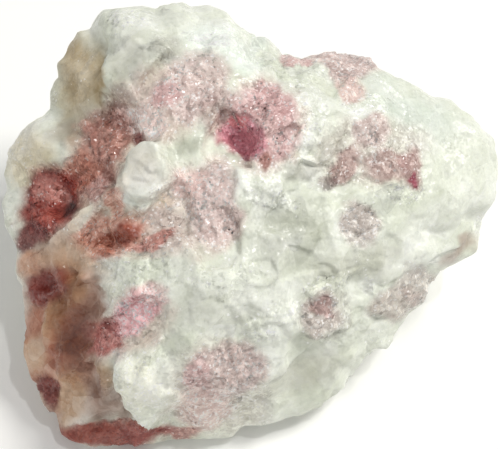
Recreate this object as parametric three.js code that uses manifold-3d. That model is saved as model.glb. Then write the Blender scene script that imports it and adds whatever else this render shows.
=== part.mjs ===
// Pink tourmaline in matrix: a broken hand specimen of white quartz and feldspar with rubellite crystals
// grown through it. It lies on its flat underside. Units are millimetres, +X right, +Y away, +Z up.
//
// The stone is drawn on a sheet: its show face laid flat, seen square on, with the sides and the back
// unrolled around it, as peel around a fruit. stonePoint() wraps that sheet into the solid. Places on the
// sheet are read in pixels of the photograph; heights, depths and gaps are in millimetres.
import * as THREE from "three";
import { mergeVertices } from "three/addons/utils/BufferGeometryUtils.js";
import Module from "manifold-3d";

const wasm = await Module();
wasm.setup();

// Driving dimensions
const stone = {
  width: 82, // across the show face
  faceLean: 60, // degrees from the horizon to the show face's outward direction
  faceLift: 21, // height of the face's middle, at rim level, above the base
  heartDepth: 9, // how far the heart, which every cut is measured from, lies behind the rim
  backDepth: 40, // depth of the uncut back behind the rim
  backReach: 58, // length of sheet from the rim to the middle of the back
  sightDistance: 250, // from the eye to the rim in the near view that the sheet shows
  standX: 0.02, // where the middle of the show face stands, with the origin under the middle of the stone
  standY: -0.3,
};
const photo = { middle: [250, 225], span: 497 };
const mmPerPixel = stone.width / photo.span;
const rimRoundness = 6; // how late the face turns over into the rim
const backRoundness = 2.5; // 2 is an ellipse, more is boxier
const facetBlend = 9; // square millimetres: how softly one broken face passes into the next
const facetLean = 0.8; // how fully a face leans the way its neighbours lie
const leanReach = 7; // millimetres around a face within which its neighbours count most
const leanSteadiness = 0.5; // square millimetres: holds a face level where it has no near neighbours
const edgeWander = { reach: 0.8, wave: [0.55, 0.6], start: [1.3, 0.4] }; // how edges between faces stray
const cutSharpness = 30; // crispness of the edges between the broken faces of the sides and the back
const cutFade = 13; // millimetres behind the rim over which those faces come in
const chips = [
  { size: 13, depth: 1.6, seed: 3 },
  { size: 8, depth: 0.7, seed: 8 },
];
const chipSharpness = 8; // crispness of the edges between chips
const chipTilt = 2.4; // how steep a chip lies, and how far it is set in or out, as shares of its depth
const chipStep = 0.8;
const faceChipping = 0.5; // share of the chipping on the show face, which has its own broken faces
const crystalGap = 0.32; // clearance around each crystal in its socket
const crystalProud = 0.55; // how far a crystal stands out of the matrix
const crystalTaper = 0.66; // width of its root over its width at the surface
const columnTip = 15; // how far the columns that shape the crystals reach out over the skin
const grid = { cells: 20, frontRings: 12, backRings: 13, frontCap: 0.45, backCap: 1.66 };
const quartz = { color: 0xdfe2d4, roughness: 0.5 };
const rubelliteRoughness = 0.4;

// The silhouette of the show face, clockwise from the top of the upper left lobe
const outline = [
  [94, 21], [102, 11], [113, 7], [135, 5], [155, 7], [170, 2], [184, 2], [190, 6], [210, 4], [226, 9],
  [236, 20], [250, 30], [266, 37], [277, 50], [282, 58], [289, 57], [301, 60], [314, 55], [330, 51],
  [350, 54],
  [368, 61], [381, 70], [397, 76], [420, 87], [435, 95], [450, 102], [465, 115], [482, 132], [491, 139],
  [498, 155], [498, 178], [495, 200], [484, 218], [477, 233], [476, 251], [460, 261], [437, 274],
  [427, 288],
  [420, 302], [408, 314], [405, 322], [396, 334], [385, 347], [373, 348], [364, 357], [347, 375],
  [343, 388],
  [327, 401], [308, 409], [285, 417], [258, 424], [242, 429], [233, 438], [210, 443], [170, 444],
  [125, 447],
  [90, 448], [75, 444], [62, 434], [56, 414], [43, 401], [36, 382], [30, 366], [24, 343], [26, 330],
  [23, 305],
  [23, 287], [16, 270], [14, 263], [16, 250], [5, 225], [1, 205], [7, 189], [4, 174], [10, 155],
  [21, 140],
  [32, 125], [45, 118], [51, 110], [51, 93], [58, 77], [57, 65], [67, 47], [78, 31], [89, 28],
];

// Broken faces of the show side: place on the sheet, and height above the rim in millimetres
const facets = [
  // upper left shoulder, turned to the left, and the two panes right of its edge
  [78, 48, 8], [66, 84, 5.5], [86, 100, 9], [70, 116, 7], [92, 66, 10.5],
  [122, 34, 15], [140, 66, 16.5], [118, 82, 15.5], [188, 28, 14.5], [222, 50, 16], [262, 84, 17],
  [262, 42, 8],
  // gully and granular band across the upper left
  [112, 116, 10.5], [102, 150, 11], [126, 138, 12], [160, 84, 15.5], [194, 74, 16.5], [150, 118, 16],
  [188, 116, 17],
  // left lobe and the dark hollow in it
  [22, 160, 3.5], [56, 142, 9.5], [84, 134, 10], [34, 190, 5], [62, 198, 6], [84, 170, 9], [16, 222, 2.5],
  // white bump, its ridge down to the left rim, and the pit beside it
  [82, 218, 13.5], [52, 240, 9.5], [26, 264, 5.5], [100, 238, 12.5], [128, 228, 16], [92, 262, 15],
  // white cleavage block and the ground right of it
  [150, 158, 19.5], [144, 186, 20], [188, 148, 17.5], [172, 212, 18],
  // centre crystal with its hollow, and the middle of the face
  [230, 140, 15.5], [246, 108, 18], [276, 112, 20.5], [282, 150, 19.5], [208, 190, 19.5], [216, 234, 20],
  [252, 200, 21], [262, 250, 21.5], [168, 262, 20.5], [122, 276, 18.5], [196, 300, 21.5],
  // left side, turned away, from the pit down to the foot
  [62, 262, 11], [92, 300, 12.5], [42, 294, 5.5], [66, 322, 8], [34, 344, 4.5], [84, 346, 10],
  [52, 376, 4.5],
  [82, 388, 8.5], [102, 396, 11], [52, 404, 3], [76, 430, 4.5], [118, 430, 6],
  // crystal and boulder at the lower left
  [134, 318, 18], [106, 332, 14.5], [136, 364, 18.5], [152, 404, 15.5], [178, 372, 17.5], [180, 430, 6.5],
  // lower middle and the slope to the foot
  [226, 340, 19.5], [228, 374, 17], [204, 408, 12], [268, 374, 14], [246, 412, 8], [290, 398, 8.5],
  // right of the middle ridge
  [296, 214, 18], [306, 256, 17.5], [326, 184, 17], [322, 138, 18.5], [306, 98, 16.5], [268, 312, 19],
  // right lobe
  [338, 68, 9.5], [362, 98, 14.5], [366, 142, 16], [342, 172, 16.5], [408, 162, 14], [404, 108, 12.5],
  [456, 128, 9.5], [470, 176, 9], [436, 206, 11.5], [392, 208, 14.5], [362, 220, 16],
  // lower right ledges and the shaded turn of the rim
  [352, 256, 15.5], [404, 252, 11.5], [458, 246, 4.5], [322, 284, 16.5], [320, 312, 15], [372, 292, 12],
  [410, 290, 7.5], [350, 334, 10.5], [386, 336, 4], [316, 366, 9.5],
];

// Broken faces of the sides and the back: outward direction, and distance from the heart in millimetres
const cuts = [
  { toward: [0.12, 1, 0.1], distance: 26 },
  { toward: [-0.62, 0.76, -0.2], distance: 28 },
  { toward: [0.8, 0.58, -0.15], distance: 32 },
  { toward: [0.4, 0.7, 0.6], distance: 28 },
  { toward: [-0.45, 0.65, 0.62], distance: 30 },
  { toward: [-0.05, 0.45, 0.9], distance: 33 },
  { toward: [-0.83, 0.45, 0.33], distance: 33 },
  { toward: [-0.95, 0.12, -0.3], distance: 34 },
  { toward: [0.9, 0.02, -0.42], distance: 31 },
  { toward: [0.55, -0.6, -0.58], distance: 20 },
  { toward: [-0.45, -0.66, -0.6], distance: 26 },
  { toward: [0.1, 0.75, -0.66], distance: 26 },
  { toward: [-0.6, 0.42, -0.68], distance: 27 },
  { toward: [0.66, 0.46, -0.6], distance: 27 },
];

// Crystals, by the outline of each on the sheet; those past the rim lie on the sides and the back
const crystals = [
  {
    name: "tourmaline_centre",
    deep: 8,
    color: 0xc4788a,
    outline: [
      [222, 130], [234, 112], [250, 97], [264, 87], [282, 86], [298, 98], [302, 118], [293, 140],
      [282, 160], [260, 166], [240, 158], [226, 144],
    ],
  },
  {
    name: "tourmaline_upper",
    deep: 7,
    color: 0xd8adb1,
    outline: [
      [148, 88], [164, 68], [188, 57], [210, 62], [216, 82], [206, 104], [192, 124], [166, 127],
      [147, 112],
    ],
  },
  {
    name: "tourmaline_seam",
    deep: 5,
    color: 0xa86f6b,
    outline: [
      [84, 142], [97, 124], [112, 108], [122, 122], [125, 142], [112, 168], [99, 176], [92, 160],
    ],
  },
  {
    name: "tourmaline_dark_left",
    deep: 6,
    color: 0x86383f,
    outline: [
      [18, 210], [28, 192], [46, 178], [66, 171], [83, 179], [80, 198], [66, 216], [46, 236],
      [27, 243],
    ],
  },
  {
    name: "tourmaline_orange",
    deep: 6,
    color: 0xb0624c,
    outline: [
      [78, 240], [92, 226], [106, 214], [124, 208], [142, 215], [146, 232], [128, 245], [106, 255],
      [86, 254],
    ],
  },
  {
    name: "tourmaline_middle",
    deep: 7,
    color: 0xcba5a6,
    outline: [
      [182, 186], [198, 170], [222, 172], [234, 186], [237, 208], [232, 232], [214, 250],
      [196, 240], [185, 214],
    ],
  },
  {
    name: "tourmaline_lower_left",
    deep: 6,
    color: 0xbd7383,
    outline: [
      [95, 334], [105, 319], [122, 308], [142, 298], [157, 291], [167, 305], [166, 325], [150, 336],
      [127, 338], [108, 346],
    ],
  },
  {
    name: "tourmaline_lower_middle",
    deep: 7,
    color: 0xc9a2a3,
    outline: [
      [190, 368], [204, 354], [230, 348], [256, 345], [268, 356], [264, 376], [244, 392],
      [217, 401], [198, 392],
    ],
  },
  {
    name: "tourmaline_lower_right",
    deep: 4,
    color: 0xa8838a,
    outline: [
      [302, 324], [312, 306], [322, 292], [334, 294], [338, 310], [330, 326], [314, 334],
    ],
  },
  {
    name: "tourmaline_violet",
    deep: 4,
    color: 0xb9a8b3,
    outline: [
      [346, 218], [356, 204], [370, 200], [378, 214], [374, 230], [359, 240], [347, 234],
    ],
  },
  {
    name: "tourmaline_right_outer",
    deep: 4,
    color: 0xc27c86,
    outline: [
      [393, 149], [406, 144], [420, 150], [422, 168], [414, 186], [403, 182], [396, 166],
    ],
  },
  {
    name: "tourmaline_right_streak",
    deep: 3.5,
    color: 0xb98d8c,
    outline: [
      [328, 188], [340, 166], [352, 149], [360, 158], [356, 176], [340, 190],
    ],
  },
  {
    name: "tourmaline_right_upper",
    deep: 4,
    color: 0xcda3a3,
    outline: [
      [359, 123], [372, 117], [384, 128], [388, 148], [384, 168], [372, 170], [366, 148],
    ],
  },
  {
    name: "tourmaline_top_right",
    deep: 4.5,
    color: 0xd0a3a7,
    outline: [
      [298, 62], [316, 52], [336, 40], [360, 44], [380, 60], [374, 76], [352, 88], [332, 82],
      [312, 74],
    ],
  },
  {
    name: "tourmaline_foot",
    deep: 4,
    color: 0x8f5246,
    outline: [
      [66, 432], [88, 425], [118, 420], [148, 428], [164, 440], [146, 452], [112, 456], [80, 450],
    ],
  },
  {
    name: "tourmaline_left_edge",
    deep: 4,
    color: 0x7f4032,
    outline: [
      [20, 300], [29, 284], [44, 273], [59, 277], [58, 292], [45, 305], [30, 312],
    ],
  },
  {
    name: "tourmaline_left_low",
    deep: 3.5,
    color: 0x5f2626,
    outline: [
      [30, 386], [44, 375], [58, 380], [61, 398], [52, 410], [38, 404],
    ],
  },
  {
    name: "tourmaline_right_edge",
    deep: 4,
    color: 0xcdb2ab,
    outline: [
      [394, 300], [404, 282], [416, 267], [430, 270], [432, 288], [418, 308], [402, 315],
    ],
  },
];

const sightAngle = THREE.MathUtils.degToRad(stone.faceLean);
const faceRight = new THREE.Vector3(1, 0, 0);
const faceUp = new THREE.Vector3(0, Math.sin(sightAngle), Math.cos(sightAngle));
const faceOut = new THREE.Vector3(0, -Math.cos(sightAngle), Math.sin(sightAngle));
const faceMiddle = new THREE.Vector3(0, 0, stone.faceLift);
const heart = faceMiddle.clone().addScaledVector(faceOut, -stone.heartDepth);

// A place on the sheet, from pixels to millimetres right of and above its middle
function onSheet([px, py]) {
  return new THREE.Vector2((px - photo.middle[0]) * mmPerPixel, (photo.middle[1] - py) * mmPerPixel);
}

const rim = outline
  .map((corner) => onSheet(corner))
  .map((p) => ({ angle: Math.atan2(p.y, p.x), radius: p.length() }))
  .sort((p, q) => p.angle - q.angle);

// Distance from the sheet's middle to the silhouette, growing evenly with the angle from corner to corner
function rimRadius(angle) {
  const turn = 2 * Math.PI;
  const next = rim.findIndex((p) => p.angle > angle);
  const after = next < 0 ? { ...rim[0], angle: rim[0].angle + turn } : rim[next];
  const last = rim.at(-1);
  const before = next <= 0 ? { ...last, angle: last.angle - (next < 0 ? 0 : turn) } : rim[next - 1];
  return THREE.MathUtils.mapLinear(angle, before.angle, after.angle, before.radius, after.radius);
}

const faces = facets.map(([px, py, height]) => ({ at: onSheet([px, py]), height }));

// Each face leans along the plane that best fits the heights of its neighbours
for (const face of faces) {
  let [xx, xy, yy, xh, yh] = [leanSteadiness, 0, leanSteadiness, 0, 0];
  for (const other of faces) {
    const away = other.at.clone().sub(face.at);
    const weight = Math.exp(-away.lengthSq() / (2 * leanReach ** 2));
    const rise = other.height - face.height;
    xx += weight * away.x * away.x;
    xy += weight * away.x * away.y;
    yy += weight * away.y * away.y;
    xh += weight * away.x * rise;
    yh += weight * away.y * rise;
  }
  const spread = xx * yy - xy * xy;
  face.lean = new THREE.Vector2(yy * xh - xy * yh, xx * yh - xy * xh).multiplyScalar(facetLean / spread);
}

// Height of the show side above the rim: the planes of the faces, each weighed by its nearness
function faceHeight(a, b) {
  const { reach, wave, start } = edgeWander;
  const wandered = new THREE.Vector2(
    a + reach * Math.sin(wave[0] * b + start[0]),
    b + reach * Math.sin(wave[1] * a + start[1]),
  );
  let total = 0;
  let sum = 0;
  for (const face of faces) {
    const away = wandered.clone().sub(face.at);
    const weight = Math.exp(-away.lengthSq() / facetBlend);
    total += weight;
    sum += weight * (face.height + face.lean.dot(away));
  }
  return sum / total;
}

// A number from 0 to 1 that belongs to a cell of space: the fraction of a large multiple of a sine
function chance(x, y, z, seed) {
  const wave = Math.sin(x * 127.1 + y * 311.7 + z * 74.7 + seed * 53.3) * 43758.5453;
  return wave - Math.floor(wave);
}

// Small broken faces: space is parted in cells, and each cell holds a plane with its own tilt and offset
function chipped(point, { size, seed }) {
  const spot = point.clone().divideScalar(size);
  const cell = spot.clone().floor();
  let total = 0;
  let sum = 0;
  for (let i = -1; i <= 1; i++) {
    for (let j = -1; j <= 1; j++) {
      for (let k = -1; k <= 1; k++) {
        const [x, y, z] = [cell.x + i, cell.y + j, cell.z + k];
        const draw = (n) => chance(x, y, z, seed + n);
        const away = new THREE.Vector3(x + draw(1), y + draw(2), z + draw(3)).sub(spot).negate();
        const tilt = new THREE.Vector3(draw(4) - 0.5, draw(5) - 0.5, draw(6) - 0.5);
        const weight = Math.exp(-chipSharpness * away.lengthSq());
        total += weight;
        sum += weight * (chipTilt * tilt.dot(away) + chipStep * (draw(7) - 0.5));
      }
    }
  }
  return sum / total;
}

// The sides and the back, cut by their broken faces: how far a point has to shrink towards the heart
function cutBack(fromHeart) {
  let crowded = 1;
  for (const { toward, distance } of cuts) {
    const direction = new THREE.Vector3(...toward).normalize();
    crowded += Math.max(0, fromHeart.dot(direction) / distance) ** cutSharpness;
  }
  return crowded ** (-1 / cutSharpness);
}

// A point of the stone's skin. level is 0 at the middle of the show face, 1 at the rim, 2 at the middle
// of the back. The face has its own heights, which turn over into the rim; the back is a rounded form cut
// by broken faces, and chips roughen both.
function stonePoint(angle, level, proud) {
  const radius = rimRadius(angle);
  let across = level * radius;
  let depth = 0;
  if (level < 1) {
    const turned = Math.sqrt(1 - level ** rimRoundness);
    depth = faceHeight(across * Math.cos(angle), across * Math.sin(angle)) * turned;
  } else {
    const turn = ((level - 1) * Math.PI) / 2;
    across = radius * Math.cos(turn) ** (2 / backRoundness);
    depth = -stone.backDepth * Math.sin(turn) ** (2 / backRoundness);
  }
  across *= 1 - depth / stone.sightDistance;
  const point = faceMiddle
    .clone()
    .addScaledVector(faceRight, across * Math.cos(angle))
    .addScaledVector(faceUp, across * Math.sin(angle))
    .addScaledVector(faceOut, depth);
  const fromHeart = point.clone().sub(heart);
  const fade = THREE.MathUtils.smoothstep(-depth, 0, cutFade);
  fromHeart.multiplyScalar(1 + (cutBack(fromHeart) - 1) * fade);
  const outward = fromHeart.clone().normalize();
  const chipping = chips.reduce((sum, chip) => sum + chip.depth * chipped(point, chip), 0);
  const height = chipping * THREE.MathUtils.lerp(faceChipping, 1, fade) + proud;
  return heart.clone().add(fromHeart).addScaledVector(outward, height);
}

// The same for a place on the sheet in millimetres, which may lie past the rim
function skinPoint(place, proud) {
  const angle = Math.atan2(place.y, place.x);
  const reach = place.length();
  const radius = rimRadius(angle);
  const level = reach < radius ? reach / radius : 1 + (reach - radius) / stone.backReach;
  return stonePoint(angle, level, proud);
}

// A solid from rows of points: each patch is a grid of points, and equal points of all patches are merged
function solidFrom(patches) {
  const positions = [];
  for (const { rows, flip } of patches) {
    for (let i = 0; i + 1 < rows.length; i++) {
      for (let j = 0; j + 1 < rows[i].length; j++) {
        const [p, q, r, s] = [rows[i][j], rows[i][j + 1], rows[i + 1][j + 1], rows[i + 1][j]];
        const corners = flip ? [p, r, q, p, s, r] : [p, q, r, p, r, s];
        for (const corner of corners) positions.push(corner.x, corner.y, corner.z);
      }
    }
  }
  const loose = new THREE.BufferGeometry();
  loose.setAttribute("position", new THREE.Float32BufferAttribute(positions, 3));
  return asSolid(loose);
}

// A closed body from loose triangles, with equal points merged and empty triangles left out
function asSolid(geometry) {
  const merged = mergeVertices(geometry, 1e-3);
  const index = [...merged.index.array];
  const triVerts = [];
  for (let i = 0; i < index.length; i += 3) {
    const [p, q, r] = index.slice(i, i + 3);
    if (p !== q && q !== r && r !== p) triVerts.push(p, q, r);
  }
  const vertProperties = merged.attributes.position.array;
  const faces = new Uint32Array(triVerts);
  return new wasm.Manifold(new wasm.Mesh({ numProp: 3, vertProperties, triVerts: faces }));
}

// A square laid on a disc without crowding its middle: returns the radius, 0 to 1, and the angle
function squareToDisc(x, y) {
  if (x === 0 && y === 0) return [0, 0];
  const eighth = Math.PI / 4;
  if (Math.abs(x) >= Math.abs(y)) return [Math.abs(x), eighth * (y / x) + (x < 0 ? Math.PI : 0)];
  return [Math.abs(y), 2 * eighth - eighth * (x / y) + (y < 0 ? Math.PI : 0)];
}

const wrapAngle = (angle) => Math.atan2(Math.sin(angle), Math.cos(angle));
const steps = (count, from, to) =>
  Array.from({ length: count + 1 }, (_, i) => from + ((to - from) * i) / count);

// The whole stone: a square cap on the face, rings over the rim and down the sides, and a cap on the back
function wholeStone({ cells, frontRings, backRings, frontCap, backCap }, proud) {
  const square = steps(cells, -1, 1);
  const cap = (levelAt) =>
    square.map((y) =>
      square.map((x) => {
        const [radius, angle] = squareToDisc(x, y);
        return stonePoint(wrapAngle(angle), levelAt(radius), proud);
      }),
    );
  const levels = [...steps(frontRings, frontCap, 1), ...steps(backRings, 1, backCap).slice(1)];
  const spokes = steps(4 * cells, -Math.PI / 4, 2 * Math.PI - Math.PI / 4);
  const ring = (level) => spokes.map((angle) => stonePoint(wrapAngle(angle), level, proud));
  return solidFrom([
    { rows: cap((radius) => radius * frontCap) },
    { rows: levels.map(ring), flip: true },
    { rows: cap((radius) => 2 - radius * (2 - backCap)), flip: true },
  ]);
}

// A tapered column with a crystal's outline at the skin, from its root straight out of the stone. Its
// socket is the same column with grow added all around.
function column({ outline: corners, deep }, grow = 0) {
  const places = corners.map((corner) => onSheet(corner));
  const middle = places.reduce((sum, p) => sum.add(p), new THREE.Vector2()).divideScalar(places.length);
  const crown = skinPoint(middle, 0);
  const axis = crown.clone().sub(heart).normalize();
  const spokes = places.map((place) => skinPoint(place, 0).sub(crown).projectOnPlane(axis));
  const ring = (share, height) => {
    const points = spokes.map((spoke) => {
      const reach = share * (spoke.length() + grow);
      return crown.clone().addScaledVector(axis, height).add(spoke.clone().setLength(reach));
    });
    return [...points, points[0]];
  };
  const [root, tip] = [-deep - grow, columnTip];
  const rows = [ring(0, tip), ring(1, tip), ring(1, 0), ring(crystalTaper, root), ring(0, root)];
  return solidFrom([{ rows }]);
}

function meshOf(solid, name, finish) {
  const { vertProperties, triVerts } = solid.getMesh();
  const geometry = new THREE.BufferGeometry();
  geometry.setAttribute("position", new THREE.BufferAttribute(vertProperties, 3));
  geometry.setIndex(new THREE.BufferAttribute(triVerts, 1));
  const material = new THREE.MeshStandardMaterial({ ...finish, metalness: 0 });
  const mesh = new THREE.Mesh(geometry, material);
  mesh.name = name;
  return mesh;
}

// The stone rests on its flat base: everything below it is cut away
const aboveBase = (solid) => solid.trimByPlane([0, 0, 1], 0);

const swollenStone = aboveBase(wholeStone(grid, crystalProud));
let matrix = aboveBase(wholeStone(grid, 0));
const specimen = new THREE.Group();
for (const crystal of crystals) {
  matrix = matrix.subtract(column(crystal, crystalGap));
  const finish = { color: crystal.color, roughness: rubelliteRoughness };
  specimen.add(meshOf(swollenStone.intersect(column(crystal)), crystal.name, finish));
}
specimen.add(meshOf(matrix, "matrix", quartz));
specimen.position.set(stone.standX, stone.standY, 0);

export default specimen;
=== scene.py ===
import bpy
import numpy as np
from mathutils import Matrix, Vector


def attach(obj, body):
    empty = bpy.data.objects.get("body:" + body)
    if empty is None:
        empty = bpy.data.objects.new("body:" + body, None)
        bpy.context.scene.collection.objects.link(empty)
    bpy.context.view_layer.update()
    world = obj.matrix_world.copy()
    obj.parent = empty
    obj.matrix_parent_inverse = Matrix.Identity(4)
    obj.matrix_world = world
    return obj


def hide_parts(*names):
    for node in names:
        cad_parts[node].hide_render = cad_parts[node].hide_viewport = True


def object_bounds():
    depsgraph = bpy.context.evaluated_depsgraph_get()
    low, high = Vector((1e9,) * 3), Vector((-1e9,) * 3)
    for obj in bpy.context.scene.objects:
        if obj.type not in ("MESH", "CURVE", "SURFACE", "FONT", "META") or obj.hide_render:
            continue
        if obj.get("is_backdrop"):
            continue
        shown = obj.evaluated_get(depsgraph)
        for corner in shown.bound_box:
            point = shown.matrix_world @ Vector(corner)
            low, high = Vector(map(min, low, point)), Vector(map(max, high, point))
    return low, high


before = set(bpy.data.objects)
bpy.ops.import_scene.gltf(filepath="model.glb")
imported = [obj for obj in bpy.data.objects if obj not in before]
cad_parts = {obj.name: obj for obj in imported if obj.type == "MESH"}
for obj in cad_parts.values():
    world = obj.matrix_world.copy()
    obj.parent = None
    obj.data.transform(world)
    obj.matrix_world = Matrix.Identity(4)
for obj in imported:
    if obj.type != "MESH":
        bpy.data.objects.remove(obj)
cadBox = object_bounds()
print("frame loaded")

# the stone's shape, as in the part's source
stone = {
    "width": 82.0,  # mm across the show face
    "faceLean": 60.0,  # degrees from the horizon to the show face's outward direction
    "faceLift": 21.0,  # mm from the base to the middle of the face, at rim level
    "heartDepth": 9.0,  # mm from the rim to the heart, which every cut is measured from
    "backDepth": 40.0,  # mm from the rim to the uncut back
    "backReach": 58.0,  # mm of sheet from the rim to the middle of the back
    "sightDistance": 250.0,  # mm from the eye to the rim
    "stand": (0.02, -0.3),  # mm, where the middle of the face stands
    "photoMiddle": (250.0, 225.0),  # px
    "photoSpan": 497.0,  # px across the stone
    "photoWidth": 500.0,  # px
    "rimRoundness": 6.0,  # how late the face turns over into the rim
    "backRoundness": 2.5,  # 2 is an ellipse, more is boxier
    "facetBlend": 9.0,  # mm2, how softly one broken face passes into the next
    "crispBlend": 2.0,  # mm2, the same for the crisp share of the face, which only the scene has
    "crispShare": 0.6,
    "facetLean": 0.8,  # how fully a face leans the way its neighbours lie
    "leanReach": 7.0,  # mm around a face within which its neighbours count most
    "leanSteadiness": 0.5,  # mm2, holds a face level where it has no near neighbours
    "cutSharpness": 30.0,  # crispness of the edges between the cuts
    "cutFade": 13.0,  # mm behind the rim over which the cuts come in
    "chipTilt": 2.4,  # how steep a chip lies, and how far it is set in or out, as shares of its depth
    "chipStep": 0.8,
}
faceWander = {"reach": 0.8, "wave": (0.55, 0.6), "start": (1.3, 0.4)}  # how edges between faces stray, mm
# the sine whose fraction is a cell's random number
scatter = {"weights": (127.1, 311.7, 74.7), "seedWeight": 53.3, "multiple": 43758.5453}
metre = 1000  # mm

# silhouette of the show face, clockwise from the top of the upper left lobe, px
outline = [
    (94, 21), (102, 11), (113, 7), (135, 5), (155, 7), (170, 2), (184, 2), (190, 6), (210, 4), (226, 9),
    (236, 20), (250, 30), (266, 37), (277, 50), (282, 58), (289, 57), (301, 60), (314, 55), (330, 51),
    (350, 54), (368, 61), (381, 70), (397, 76), (420, 87), (435, 95), (450, 102), (465, 115), (482, 132),
    (491, 139), (498, 155), (498, 178), (495, 200), (484, 218), (477, 233), (476, 251), (460, 261),
    (437, 274), (427, 288), (420, 302), (408, 314), (405, 322), (396, 334), (385, 347), (373, 348),
    (364, 357), (347, 375), (343, 388), (327, 401), (308, 409), (285, 417), (258, 424), (242, 429),
    (233, 438), (210, 443), (170, 444), (125, 447), (90, 448), (75, 444), (62, 434), (56, 414), (43, 401),
    (36, 382), (30, 366), (24, 343), (26, 330), (23, 305), (23, 287), (16, 270), (14, 263), (16, 250),
    (5, 225), (1, 205), (7, 189), (4, 174), (10, 155), (21, 140), (32, 125), (45, 118), (51, 110),
    (51, 93), (58, 77), (57, 65), (67, 47), (78, 31), (89, 28),
]

# broken faces of the show side: px, px, mm above the rim
facets = [
    # upper left shoulder and the panes right of its edge
    (78, 48, 8), (66, 84, 5.5), (86, 100, 9), (70, 116, 7), (92, 66, 10.5), (122, 34, 15),
    (140, 66, 16.5), (118, 82, 15.5), (188, 28, 14.5), (222, 50, 16), (262, 84, 17), (262, 42, 8),
    # gully and granular band across the upper left
    (112, 116, 10.5), (102, 150, 11), (126, 138, 12), (160, 84, 15.5), (194, 74, 16.5), (150, 118, 16),
    (188, 116, 17),
    # left lobe and the dark hollow in it
    (22, 160, 3.5), (56, 142, 9.5), (84, 134, 10), (34, 190, 5), (62, 198, 6), (84, 170, 9),
    (16, 222, 2.5),
    # white bump, its ridge down to the left rim, and the pit beside it
    (82, 218, 13.5), (52, 240, 9.5), (26, 264, 5.5), (100, 238, 12.5), (128, 228, 16), (92, 262, 15),
    # white cleavage block and the ground right of it
    (150, 158, 19.5), (144, 186, 20), (188, 148, 17.5), (172, 212, 18),
    # centre crystal with its hollow, and the middle of the face
    (230, 140, 15.5), (246, 108, 18), (276, 112, 20.5), (282, 150, 19.5), (208, 190, 19.5),
    (216, 234, 20), (252, 200, 21), (262, 250, 21.5), (168, 262, 20.5), (122, 276, 18.5),
    (196, 300, 21.5),
    # left side, turned away, from the pit down to the foot
    (62, 262, 11), (92, 300, 12.5), (42, 294, 5.5), (66, 322, 8), (34, 344, 4.5), (84, 346, 10),
    (52, 376, 4.5), (82, 388, 8.5), (102, 396, 11), (52, 404, 3), (76, 430, 4.5), (118, 430, 6),
    # crystal and boulder at the lower left
    (134, 318, 18), (106, 332, 14.5), (136, 364, 18.5), (152, 404, 15.5), (178, 372, 17.5),
    (180, 430, 6.5),
    # lower middle and the slope to the foot
    (226, 340, 19.5), (228, 374, 17), (204, 408, 12), (268, 374, 14), (246, 412, 8), (290, 398, 8.5),
    # right of the middle ridge
    (296, 214, 18), (306, 256, 17.5), (326, 184, 17), (322, 138, 18.5), (306, 98, 16.5), (268, 312, 19),
    # right lobe
    (338, 68, 9.5), (362, 98, 14.5), (366, 142, 16), (342, 172, 16.5), (408, 162, 14), (404, 108, 12.5),
    (456, 128, 9.5), (470, 176, 9), (436, 206, 11.5), (392, 208, 14.5), (362, 220, 16),
    # lower right ledges and the shaded turn of the rim
    (352, 256, 15.5), (404, 252, 11.5), (458, 246, 4.5), (322, 284, 16.5), (320, 312, 15), (372, 292, 12),
    (410, 290, 7.5), (350, 334, 10.5), (386, 336, 4), (316, 366, 9.5),
]

# broken faces of the sides and the back: outward direction, mm from the heart
cuts = [
    ((0.12, 1, 0.1), 26), ((-0.62, 0.76, -0.2), 28), ((0.8, 0.58, -0.15), 32), ((0.4, 0.7, 0.6), 28),
    ((-0.45, 0.65, 0.62), 30), ((-0.05, 0.45, 0.9), 33), ((-0.83, 0.45, 0.33), 33),
    ((-0.95, 0.12, -0.3), 34), ((0.9, 0.02, -0.42), 31), ((0.55, -0.6, -0.58), 20),
    ((-0.45, -0.66, -0.6), 26), ((0.1, 0.75, -0.66), 26), ((-0.6, 0.42, -0.68), 27),
    ((0.66, 0.46, -0.6), 27),
]

# chipping, coarse to fine: size of a chip, its depth, how crisply one meets the next, how far its edges
# wander, and its share on the show face, mm. The first two are the source's own, crisper; the others are
# finer than its mesh can carry.
chips = [
    {"size": 13.0, "depth": 1.6, "crisp": 14, "wander": 0.0, "seed": 3, "onFace": 0.5},
    {"size": 8.0, "depth": 0.7, "crisp": 16, "wander": 0.0, "seed": 8, "onFace": 0.5},
    {"size": 5.2, "depth": 0.8, "crisp": 30, "wander": 0.8, "seed": 21, "onFace": 0.4},
    {"size": 2.4, "depth": 0.35, "crisp": 24, "wander": 0.3, "seed": 34, "onFace": 0.45},
]
chipLumps = {"share": 0.6, "seeds": (2, 4, 6)}  # of the soft lumps that move the edges, as a share of a chip
# where the fine chipping is stronger or, below 0, weaker: px, px, half width, half height, turn, share
breakage = {
    "cleavage block": (148, 172, 30, 36, 15, -0.6),
    "under the right crystals": (330, 150, 36, 18, -10, 0.8),
    "over the lower right crystal": (330, 280, 40, 16, -15, 0.8),
    "right ledges": (352, 250, 60, 22, -5, 0.5),
    "under the orange crystal": (128, 268, 50, 14, -10, 1.0),
    "foot of the middle": (272, 322, 34, 18, -30, 0.6),
    "seam and hollow": (80, 170, 44, 60, 35, 0.9),
    "left side": (62, 350, 46, 96, 0, 1.0),
    "bright crown": (205, 42, 60, 32, 30, -0.9),
    "right lobe": (440, 150, 50, 46, 20, -0.5),
    "slope to the foot": (300, 384, 56, 24, -32, -0.4),
}
# sugar: the finest grain, only where the rock is granular, mm
sugar = [
    {"size": 1.1, "depth": 0.27, "crisp": 8, "seed": 81},
    {"size": 0.55, "depth": 0.14, "crisp": 8, "seed": 87},
]

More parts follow.
